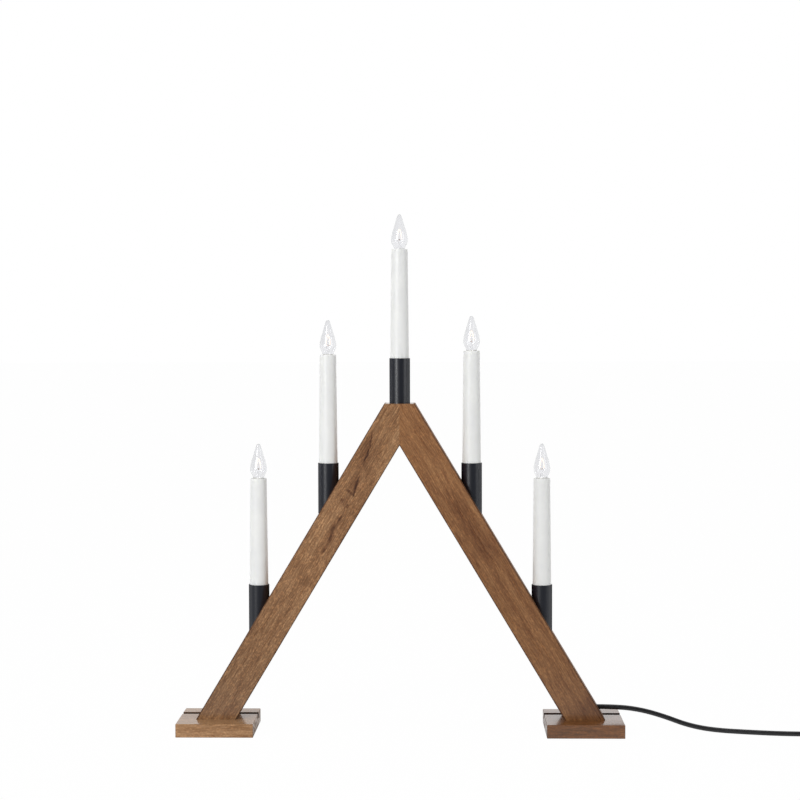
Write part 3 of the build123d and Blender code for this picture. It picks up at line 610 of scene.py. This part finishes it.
def add_cord(material):
    """One smooth spline through the route and the coil, as round as the cord."""
    data = bpy.data.curves.new("power_cord", "CURVE")
    data.dimensions = "3D"
    data.bevel_depth = CORD_DIAMETER / 2
    data.bevel_resolution = CORD_ROUND_STEPS
    data.resolution_u = CORD_LINE_STEPS
    data.use_fill_caps = True
    points = CORD_ROUTE + coil_points()
    spline = data.splines.new("NURBS")
    spline.points.add(len(points) - 1)
    spline.points.foreach_set("co", np.column_stack([points, np.ones(len(points))]).ravel())
    spline.order_u = CORD_ORDER
    spline.use_endpoint_u = True
    cord = bpy.data.objects.new("power_cord", data)
    data.materials.append(material)
    scene.collection.objects.link(cord)
    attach(cord, "frame")
    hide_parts("power_cord_run", "power_cord_coil")


def smooth_line(points):
    """A curve through points: on each stretch, the cubic whose slope at an end is half the step between that
    end's two neighbours."""
    points = np.array(points, float)
    padded = np.vstack([2 * points[0] - points[1], points, 2 * points[-1] - points[-2]])
    u = np.linspace(0, 1, LINE_STEPS, endpoint=False)[None, :, None]
    a, b, c, d = (padded[i : len(points) - 1 + i, None] for i in range(4))
    curve = 0.5 * (2 * b + (c - a) * u + (2 * a - 5 * b + 4 * c - d) * u**2 + (3 * b - a - 3 * c + d) * u**3)
    return np.vstack([curve.reshape(-1, points.shape[1]), points[-1:]])


def turned(profile, steps):
    """A profile of radius and height turned about an upright axis: x = r cos t, y = r sin t, z = h."""
    profile = np.array(profile, float)
    t = 2 * math.pi * np.arange(steps) / steps
    radius, height = profile[:, :1], profile[:, 1:]
    return np.stack([radius * np.cos(t), radius * np.sin(t), height + 0 * t], axis=-1)


def wire(points, radius):
    """A circle carried along a smooth line: point + radius (side cos t + up sin t), square to the line."""
    line = smooth_line(points)
    along = np.gradient(line, axis=0)
    side = np.cross(along, ACROSS_WIRES)
    side /= np.linalg.norm(side, axis=1, keepdims=True)
    up = np.cross(along, side)
    up /= np.linalg.norm(up, axis=1, keepdims=True)
    t = 2 * math.pi * np.arange(WIRE_STEPS)[:, None] / WIRE_STEPS
    return line[:, None] + radius * (side[:, None] * np.cos(t) + up[:, None] * np.sin(t))


def grid_faces(rows, columns):
    """Four-sided faces between neighbouring rows of a grid whose columns close on themselves."""
    here = np.arange(rows - 1)[:, None] * columns
    above = here + columns
    column = np.arange(columns)[None, :]
    beside = (column + 1) % columns
    corners = (here + column, here + beside, above + beside, above + column)
    return np.stack(corners, axis=-1).reshape(-1, 4)


def add_piece(name, surfaces, centre, body, replaced):
    """One mesh from grids in millimetres about a centre, each with its material.

    Points that fall together are merged, and open ends are closed."""
    mesh = bpy.data.meshes.new(name)
    points, faces, kinds, first = [], [], [], 0
    for grid, material in surfaces:
        part = grid_faces(*grid.shape[:2]) + first
        points.append(grid.reshape(-1, 3) / 1000 + centre)
        faces.append(part)
        if material.name not in mesh.materials:
            mesh.materials.append(material)
        kinds.append(np.full(len(part), mesh.materials.find(material.name)))
        first += len(points[-1])
    mesh.from_pydata(np.vstack(points).tolist(), [], np.vstack(faces).tolist())
    mesh.polygons.foreach_set("material_index", np.concatenate(kinds).astype(np.int32))
    work = bmesh.new()
    work.from_mesh(mesh)
    bmesh.ops.remove_doubles(work, verts=work.verts, dist=SAME_POINT)
    bmesh.ops.holes_fill(work, edges=[edge for edge in work.edges if edge.is_boundary], sides=0)
    bmesh.ops.recalc_face_normals(work, faces=work.faces)
    work.to_mesh(mesh)
    work.free()
    mesh.polygons.foreach_set("use_smooth", np.ones(len(mesh.polygons), bool))
    mesh.set_sharp_from_angle(angle=math.radians(SHARP_DEGREES))
    piece = bpy.data.objects.new(name, mesh)
    scene.collection.objects.link(piece)
    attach(piece, body)
    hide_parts(replaced)


def add_bulb(name, glass, cement_and_painted_light, metal, bead, tungsten):
    """The glass and the lit mount of one bulb, about the middle of the top of its tube.

    The glass is turned from its outside above the cement, over the tip and down its inside. The cement closes
    it below: down the inside, round the foot and neck, and up the outside; just above the tube its opaque
    white is painted light in place of the clear glass."""
    low, high = (np.array(corner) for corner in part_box(f"bulb_glass_{name}"))
    centre = np.array([*(low + high)[:2] / 2, high[2] - GLASS_OUTSIDE[-1][1] / 1000])
    outside = smooth_line(GLASS_OUTSIDE)
    inside = smooth_line(GLASS_INSIDE)
    shell = np.vstack([outside[WHITE_FOOT_ROWS:], inside[:-WHITE_FOOT_ROWS]])
    foot = np.vstack([inside[-WHITE_FOOT_ROWS - 1 :], GLASS_FOOT, GLASS_NECK, outside[: WHITE_FOOT_ROWS + 1]])
    drop = [(turned(shell, GLASS_STEPS), glass), (turned(foot, GLASS_STEPS), cement_and_painted_light)]
    mount = [(turned(STEM, STEM_STEPS), cement_and_painted_light), (wire(SUPPORT, SUPPORT_RADIUS), metal)]
    mount += [(wire(lead, LEAD_RADIUS), metal) for lead in LEADS]
    mount += [(turned(BEAD, BEAD_STEPS), bead), (wire(FILAMENT, FILAMENT_RADIUS), tungsten)]
    add_piece(f"bulb_{name}_drop", drop, centre, f"bulb_{name}", f"bulb_glass_{name}")
    add_piece(f"bulb_{name}_mount", mount, centre, f"bulb_{name}", f"bulb_filament_{name}")


def each(kind):
    """The names of one kind of piece at all the candles."""
    return [f"{kind}_{name}" for name in CANDLES]


def use(material, *names):
    """Gives CAD nodes a material in place of their own."""
    for name in names:
        for slot in nodes[name].material_slots:
            slot.material = material


def add_floor():
    """A wide flat sheet that is white to the camera and through glass and keeps a soft shadow.

    To gloss it is white behind the object and dim in front."""
    mesh = bpy.data.meshes.new("floor")
    corners = [(x * FLOOR_HALF, y * FLOOR_HALF, 0) for x, y in ((-1, -1), (1, -1), (1, 1), (-1, 1))]
    mesh.from_pydata(corners, [], [(0, 1, 2, 3)])
    floor = bpy.data.objects.new("floor", mesh)
    scene.collection.objects.link(floor)
    material = bpy.data.materials.new("pale_floor")
    tree = bare_tree(material)
    paint = add(tree, "ShaderNodeBsdfDiffuse", {"Color": grey(FLOOR_PAINT)}).outputs[0]
    coords = add(tree, "ShaderNodeTexCoord").outputs["Object"]
    place = add(tree, "ShaderNodeSeparateXYZ", {0: coords}).outputs
    depth = {0: place["Y"], 1: FLOOR_TURN[0], 2: FLOOR_TURN[1], 3: FLOOR_FRONT, 4: 1.0}
    front = add(tree, "ShaderNodeMapRange", depth).outputs[0]
    rays = add(tree, "ShaderNodeLightPath").outputs
    white = 1.0
    for kind, level in (("Is Glossy Ray", front), ("Is Transmission Ray", 1.0)):
        white = add(tree, "ShaderNodeMix", {0: rays[kind], 2: white, 3: level}).outputs[0]
    glow = add(tree, "ShaderNodeEmission", {"Color": WHITE, "Strength": white}).outputs[0]
    seen = rays["Is Camera Ray"]
    for kind in ("Is Glossy Ray", "Is Transmission Ray"):
        seen = add(tree, "ShaderNodeMath", {0: seen, 1: rays[kind]}, operation="MAXIMUM").outputs[0]
    share = add(tree, "ShaderNodeMath", {0: seen, 1: FLOOR_WHITE}, operation="MULTIPLY").outputs[0]
    both = add(tree, "ShaderNodeMixShader", {0: share, 1: paint, 2: glow}).outputs[0]
    add(tree, "ShaderNodeOutputMaterial", {"Surface": both})
    mesh.materials.append(material)


def add_world():
    """White to the camera and through glass, and plain as light.

    To gloss it is white behind the object and dim in front."""
    world = bpy.data.worlds.new("studio")
    scene.world = world
    tree = bare_tree(world)
    coords = add(tree, "ShaderNodeTexCoord").outputs["Generated"]
    backward = {0: coords, 1: ROOM_BACKWARD}
    way = add(tree, "ShaderNodeVectorMath", backward, operation="DOT_PRODUCT").outputs[1]
    turn = {0: way, 1: ROOM_TURN[0], 2: ROOM_TURN[1], 3: ROOM_FRONT, 4: 1.0}
    strength = ROOM_LIGHT
    rays = add(tree, "ShaderNodeLightPath").outputs
    for kind, level in (
        ("Is Glossy Ray", add(tree, "ShaderNodeMapRange", turn).outputs[0]),
        ("Is Transmission Ray", 1.0),
        ("Is Camera Ray", 1.0),
    ):
        strength = add(tree, "ShaderNodeMix", {0: rays[kind], 2: strength, 3: level}).outputs[0]
    back = add(tree, "ShaderNodeBackground", {"Color": WHITE, "Strength": strength}).outputs[0]
    add(tree, "ShaderNodeOutputWorld", {"Surface": back})


def add_lamp(name, place, size, power):
    """A soft rectangular lamp that faces the target."""
    data = bpy.data.lights.new(name, "AREA")
    data.shape = "RECTANGLE"
    data.size, data.size_y = size
    data.energy = power
    lamp = bpy.data.objects.new(name, data)
    way = Vector(LAMP_TARGET) - Vector(place)
    lamp.matrix_world = Matrix.Translation(place) @ way.to_track_quat("-Z", "Y").to_matrix().to_4x4()
    scene.collection.objects.link(lamp)


add_camera()

# Extruded or moulded PVC: black and satin
cord_pvc = skinned("black_pvc", ("#101012", "#1a1a1d"), 3, (0.3, 0.42))
add_cord(cord_pvc)

# The wood of the legs and feet, each cut from its own board
left_leg_wood = stained_acacia(
    "stained_acacia_left_leg",
    LEG_SLOPE,
    (0, 0, 0),
    ("#724d2f", "#8e6744", "#a17b56"),
    0.3,
    fleck=0.5,
    fade=(0.8, 1.02, 0.16),
    checks=LEFT_CHECKS,
    section=LEG_SECTION,
)
use(left_leg_wood, "left_leg", "left_back_cover")
right_leg_wood = stained_acacia(
    "stained_acacia_right_leg",
    -LEG_SLOPE,
    (0.7, 0.2, 0.3),
    ("#6a4123", "#7f5633", "#926740"),
    0.3,
    banding=0.28,
    fade=(0.92, 1.1, 0.3),
    checks=RIGHT_CHECKS,
    section=LEG_SECTION,
)
use(right_leg_wood, "right_leg", "right_back_cover")
left_foot_wood = stained_acacia(
    "stained_acacia_left_foot",
    0,
    (1.3, 0.4, 0.1),
    ("#85603d", "#9d7754", "#b08a64"),
    0.5,
    shine=0.1,
    groove=FOOT_GROOVE,
)
use(left_foot_wood, "left_foot")
right_foot_wood = stained_acacia(
    "stained_acacia_right_foot",
    0,
    (2.1, 0.9, 0.5),
    ("#56330f", "#6d421c", "#82542a"),
    0.6,
    groove=FOOT_GROOVE,
)
use(right_foot_wood, "right_foot")

# Powder-coated steel: satin black with a fine orange-peel skin
use(skinned("black_powder_coat", ("#050a17", "#091020"), 0.8, (0.32, 0.38), rim=0.03), *each("cup"))

# Moulded polypropylene: white, with a soft sheen and a slow waviness
white_plastic = skinned("white_polypropylene", ("#e6e7e5", "#ebece9"), 14, (0.32, 0.4), subsurface=0.4)
use(white_plastic, *each("candle_tube"))

# Moulded urea resin: off-white and satin
use(skinned("white_urea_resin", ("#dcdad3", "#e6e4de"), 2, (0.3, 0.4)), *each("lamp_holder"))

# Drawn brass: yellow and bright, with a slightly uneven tone
brass = skinned("drawn_brass", ("#b08d4c", "#c9a765"), 2, (0.22, 0.34), metallic=1.0)
use(brass, "holder_screw_shells", "holder_contacts", *each("bulb_base"))

# Tin solder set from a drop: grey, uneven and half dull
solder = skinned("tin_solder", ("#8d8e90", "#a5a6a8"), 0.8, (0.3, 0.5), relief=0.2, metallic=1.0)
use(solder, *each("bulb_tip"))

# Zinc-plated steel: cool grey and half bright
zinc = skinned("zinc_plated_steel", ("#a8abaf", "#c3c6c9"), 1.5, (0.25, 0.4), metallic=1.0)
use(zinc, "foot_screws", "clamp_screw")

# Nickel-plated brass: warm grey and bright
use(skinned("nickel_plated_brass", ("#b9b6ae", "#cdcac2"), 2, (0.16, 0.26), metallic=1.0), "plug_pins")

# Turned beech: pale, bare and matt
use(skinned("turned_beech", ("#c39a6b", "#d6b185"), 1.5, (0.5, 0.65), relief=0.2), "apex_dowels")

# Moulded nylon: black and half matt
use(skinned("black_nylon", ("#131315", "#1c1c1f"), 2, (0.35, 0.5)), "cord_bush", "cord_clamp", "wire_splice")

# Extruded wire insulation: off-white and satin
use(
    skinned("white_wire_insulation", ("#d8d6d0", "#e4e2dc"), 4, (0.35, 0.45)),
    "wire_right_lower_to_right_upper",
    "wire_right_upper_to_top",
    "wire_top_to_left_upper",
    "wire_left_upper_to_left_lower",
    "wire_return",
)
use(cord_pvc, "plug_body", "cord_tie", "cord_tail")

# Drawn nickel wire, pale where it catches the glow, and a fused bead of dark glass
nickel_wire = skinned("nickel_wire", ("#cfcfd1", "#e0e0e2"), 1, (0.3, 0.45), metallic=0.3)
dark_bead = skinned("dark_bead_glass", ("#9a8a82", "#ab9b92"), 1, (0.2, 0.3))

# Fired lamp cement that holds the glass in its base, and makes the stem: chalky white. Where it rises above
# the tube in place of the clear glass foot, its white is painted light
cement_and_painted_light = skinned("lamp_cement_and_painted_light", ("#f2f1ee", "#f8f8f5"), 1, (0.5, 0.65))
glass = clear_glass()
tungsten = glowing_tungsten()
for candle in CANDLES:
    add_bulb(candle, glass, cement_and_painted_light, nickel_wire, dark_bead, tungsten)

add_floor()
add_world()
for lamp in LAMPS:
    add_lamp(*lamp)
